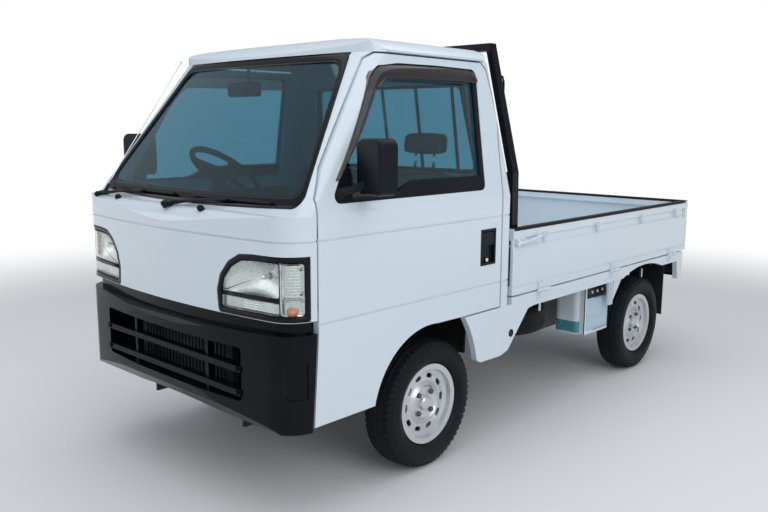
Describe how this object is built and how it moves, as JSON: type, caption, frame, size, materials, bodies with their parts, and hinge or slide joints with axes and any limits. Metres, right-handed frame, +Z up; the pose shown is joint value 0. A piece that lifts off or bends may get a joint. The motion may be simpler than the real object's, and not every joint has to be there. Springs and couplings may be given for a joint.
{
  "type": "kei truck",
  "caption": "Small cab-over pickup truck with a drop-side bed, opening doors and gates, steered front wheels and four turning wheels.",
  "frame": {"origin": "on the ground, at the middle of the truck's bounding box in plan", "axes": "+X towards the truck's left side, +Y towards its tail, +Z up"},
  "size_m": [1.7122, 3.3015, 1.762],
  "materials": {
    "body_paint": "white gloss paint, slightly cool",
    "bed_paint": "white paint, dulled by use",
    "black_bumper": "black moulded bumper with a soft gloss",
    "black_trim": "matt black trim",
    "guard_paint": "black gloss paint on steel bar",
    "glass_tint": "blue-green tinted glass",
    "lamp_clear": "clear lamp lens",
    "lamp_red": "red and amber lamp lens",
    "wheel_steel": "silver painted steel wheel",
    "tyre_rubber": "worn black tyre rubber",
    "flap_rubber": "black rubber sheet",
    "seat_vinyl": "dark grey vinyl",
    "cabin_plastic": "dark grey moulded cabin plastic",
    "chassis_black": "black underbody coating on steel",
    "engine_alloy": "dull cast alloy",
    "exhaust_steel": "heat-stained steel",
    "tank_white": "milky white moulded tank and cover"
  },
  "bodies": {
    "body": {"nose_panel": "body_paint", "front_pillars": "body_paint", "roof": "body_paint", "cab_back": "body_paint", "cab_floor": "body_paint", "body_sides": "body_paint", "bed_floor": "bed_paint", "radiator": "chassis_black", "cab_glass": "glass_tint", "dashboard": "cabin_plastic", "seats": "seat_vinyl", "front_bumper": "black_bumper", "headlamps": "lamp_clear", "guard_frame": "guard_paint", "bed_frame": "chassis_black", "front_suspension": "chassis_black", "rear_axle": "chassis_black", "engine": "engine_alloy", "fuel_tank": "chassis_black", "coolant_and_battery": "tank_white", "spare_wheel": "tyre_rubber", "exhaust": "exhaust_steel", "tail_lamps": "lamp_red", "mud_flaps": "flap_rubber", "wipers": "black_trim"},
    "door_left": {"door_left": "body_paint", "door_glass_left": "glass_tint", "door_trim_left": "black_trim"},
    "side_gate_left": {"side_gate_left": "body_paint"},
    "knuckle_left": {"knuckle_left": "chassis_black"},
    "door_right": {"door_right": "body_paint", "door_glass_right": "glass_tint", "door_trim_right": "black_trim"},
    "side_gate_right": {"side_gate_right": "body_paint"},
    "knuckle_right": {"knuckle_right": "chassis_black"},
    "tailgate": {"tailgate": "body_paint"},
    "steering_wheel": {"steering_wheel": "cabin_plastic"},
    "wheel_front_left": {"tyre_front_left": "tyre_rubber", "rim_front_left": "wheel_steel"},
    "wheel_front_right": {"tyre_front_right": "tyre_rubber", "rim_front_right": "wheel_steel"},
    "wheel_rear_left": {"tyre_rear_left": "tyre_rubber", "rim_rear_left": "wheel_steel"},
    "wheel_rear_right": {"tyre_rear_right": "tyre_rubber", "rim_rear_right": "wheel_steel"}
  },
  "joints": [
    {"name": "door_left_hinge", "type": "hinge", "parent": "body", "child": "door_left", "pos_m": [0.6855, -1.423, 0.925], "axis": [0, 0, -1], "range_deg": [0, 65]},
    {"name": "door_right_hinge", "type": "hinge", "parent": "body", "child": "door_right", "pos_m": [-0.6855, -1.423, 0.925], "axis": [0, 0, 1], "range_deg": [0, 65]},
    {"name": "side_gate_left_hinge", "type": "hinge", "parent": "body", "child": "side_gate_left", "pos_m": [0.7065, 0.648, 0.643], "axis": [0, 1, 0], "range_deg": [0, 180]},
    {"name": "side_gate_right_hinge", "type": "hinge", "parent": "body", "child": "side_gate_right", "pos_m": [-0.7065, 0.648, 0.643], "axis": [0, -1, 0], "range_deg": [0, 180]},
    {"name": "tailgate_hinge", "type": "hinge", "parent": "body", "child": "tailgate", "pos_m": [0, 1.647, 0.643], "axis": [-1, 0, 0], "range_deg": [0, 180]},
    {"name": "steer_left", "type": "hinge", "parent": "body", "child": "knuckle_left", "pos_m": [0.57, -0.8195, 0.19], "axis": [-0.262, 0, 0.9651], "range_deg": [-35, 35]},
    {"name": "steer_right", "type": "hinge", "parent": "body", "child": "knuckle_right", "pos_m": [-0.57, -0.8195, 0.19], "axis": [0.262, 0, 0.9651], "range_deg": [-35, 35]},
    {"name": "steering_wheel_turn", "type": "hinge", "parent": "body", "child": "steering_wheel", "pos_m": [-0.31, -1.105, 1.19], "axis": [0, 0.6428, 0.766], "range_deg": [-490, 490]},
    {"name": "wheel_front_left_spin", "type": "hinge", "parent": "knuckle_left", "child": "wheel_front_left", "pos_m": [0.6025, -0.8195, 0.271], "axis": [1, 0, 0], "continuous": true},
    {"name": "wheel_front_right_spin", "type": "hinge", "parent": "knuckle_right", "child": "wheel_front_right", "pos_m": [-0.6025, -0.8195, 0.271], "axis": [1, 0, 0], "continuous": true},
    {"name": "wheel_rear_left_spin", "type": "hinge", "parent": "body", "child": "wheel_rear_left", "pos_m": [0.6025, 1.0805, 0.271], "axis": [1, 0, 0], "continuous": true},
    {"name": "wheel_rear_right_spin", "type": "hinge", "parent": "body", "child": "wheel_rear_right", "pos_m": [-0.6025, 1.0805, 0.271], "axis": [1, 0, 0], "continuous": true}
  ],
  "couplings": [
    {"joint": "steer_right", "follows": "steer_left", "ratio": 1},
    {"joint": "steering_wheel_turn", "follows": "steer_left", "ratio": 14}
  ]
}
